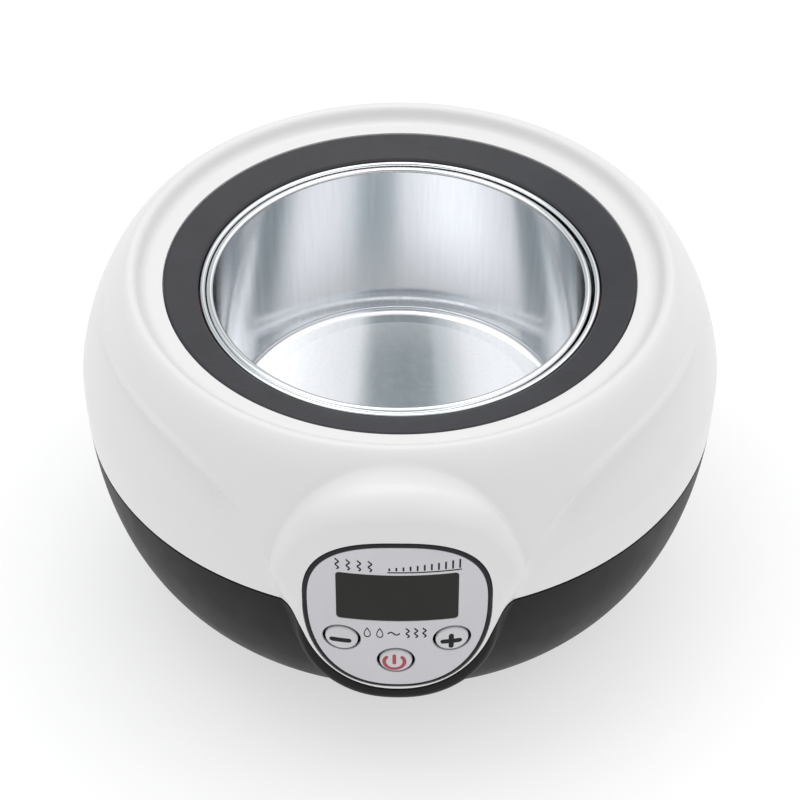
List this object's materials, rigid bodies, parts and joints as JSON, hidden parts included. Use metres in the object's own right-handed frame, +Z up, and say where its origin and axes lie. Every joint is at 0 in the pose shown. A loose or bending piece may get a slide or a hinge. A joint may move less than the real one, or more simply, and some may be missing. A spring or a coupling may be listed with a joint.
{
  "type": "wax warmer",
  "caption": "Round tabletop wax warmer: white and charcoal bowl-shaped housing, digital control panel with push buttons, heated well and a loose lift-out aluminium wax pot.",
  "frame": {"origin": "on the table plane, at the middle of the body's round axis, under the feet", "axes": "+Z up along the axis of the well, -Y towards the control panel, +Y towards the cord gland at the back"},
  "size_m": [0.1958, 0.2022, 0.1157],
  "materials": {
    "white_abs": "gloss",
    "charcoal_abs": "fine matte",
    "dark_ring": "satin, fine texture",
    "pot_aluminium": "polished",
    "well_aluminium": "polished",
    "silver_face": "satin",
    "border_black": "satin",
    "display_lens": "gloss",
    "key_silver": "satin",
    "black_rubber": "matte",
    "zinc_steel": "satin",
    "mica": "dull",
    "glass_felt": "soft",
    "silicone_red": "soft",
    "aluminium_sheet": "mill",
    "board_green": "solder mask",
    "part_black": "moulded",
    "part_blue": "gloss",
    "part_yellow": "gloss",
    "part_green": "moulded",
    "winding": "varnished tape",
    "fuse_glass": "clear",
    "ceramic": "glazed",
    "lead_brown": "soft",
    "lead_white": "soft",
    "lead_black": "soft",
    "ribbon_grey": "soft",
    "lcd_frame": "satin"
  },
  "bodies": {
    "housing": {"upper_shell": "white_abs", "lower_shell": "charcoal_abs", "base_plate": "charcoal_abs", "top_ring": "dark_ring", "heater_well": "well_aluminium", "well_seal": "silicone_red", "heater_band": "mica", "band_clamp": "zinc_steel", "insulation_sleeve": "glass_felt", "heat_shield": "aluminium_sheet", "heater_plate": "mica", "base_insulation": "glass_felt", "well_bracket": "zinc_steel", "bracket_screws": "zinc_steel", "stud_nut": "zinc_steel", "panel_frame": "border_black", "panel_face": "silver_face", "display_window": "display_lens", "switch_housings": "part_black", "lcd_module": "lcd_frame", "display_board": "board_green", "display_screws": "zinc_steel", "power_board": "board_green", "transformer": "winding", "relay": "part_blue", "capacitor": "part_yellow", "mains_terminal": "part_green", "mains_fuse": "fuse_glass", "temp_sensor": "zinc_steel", "thermal_fuse": "ceramic", "board_screws": "zinc_steel", "case_screws": "zinc_steel", "base_screws": "zinc_steel", "rubber_feet": "black_rubber", "cord_gland": "black_rubber", "gland_nut": "part_black", "heater_leads": "lead_white", "sensor_leads": "lead_black", "mains_leads": "lead_brown", "ribbon_cable": "ribbon_grey"},
    "pot": {"wax_pot": "pot_aluminium"},
    "minus_key": {"minus_button": "key_silver", "minus_plunger": "part_black"},
    "plus_key": {"plus_button": "key_silver", "plus_plunger": "part_black"},
    "power_key": {"power_button": "key_silver", "power_plunger": "part_black"}
  },
  "joints": [
    {"name": "pot_lift", "type": "slide", "parent": "housing", "child": "pot", "axis": [0, 0, 1], "range_m": [0, 0.08]},
    {"name": "minus_press", "type": "slide", "parent": "housing", "child": "minus_key", "axis": [0, 1, 0], "range_m": [0, 0.0006], "stiffness_N_per_m": 500, "springref_m": -0.0004},
    {"name": "plus_press", "type": "slide", "parent": "housing", "child": "plus_key", "axis": [0, 1, 0], "range_m": [0, 0.0006], "stiffness_N_per_m": 500, "springref_m": -0.0004},
    {"name": "power_press", "type": "slide", "parent": "housing", "child": "power_key", "axis": [0, 1, 0], "range_m": [0, 0.0006], "stiffness_N_per_m": 500, "springref_m": -0.0004}
  ]
}
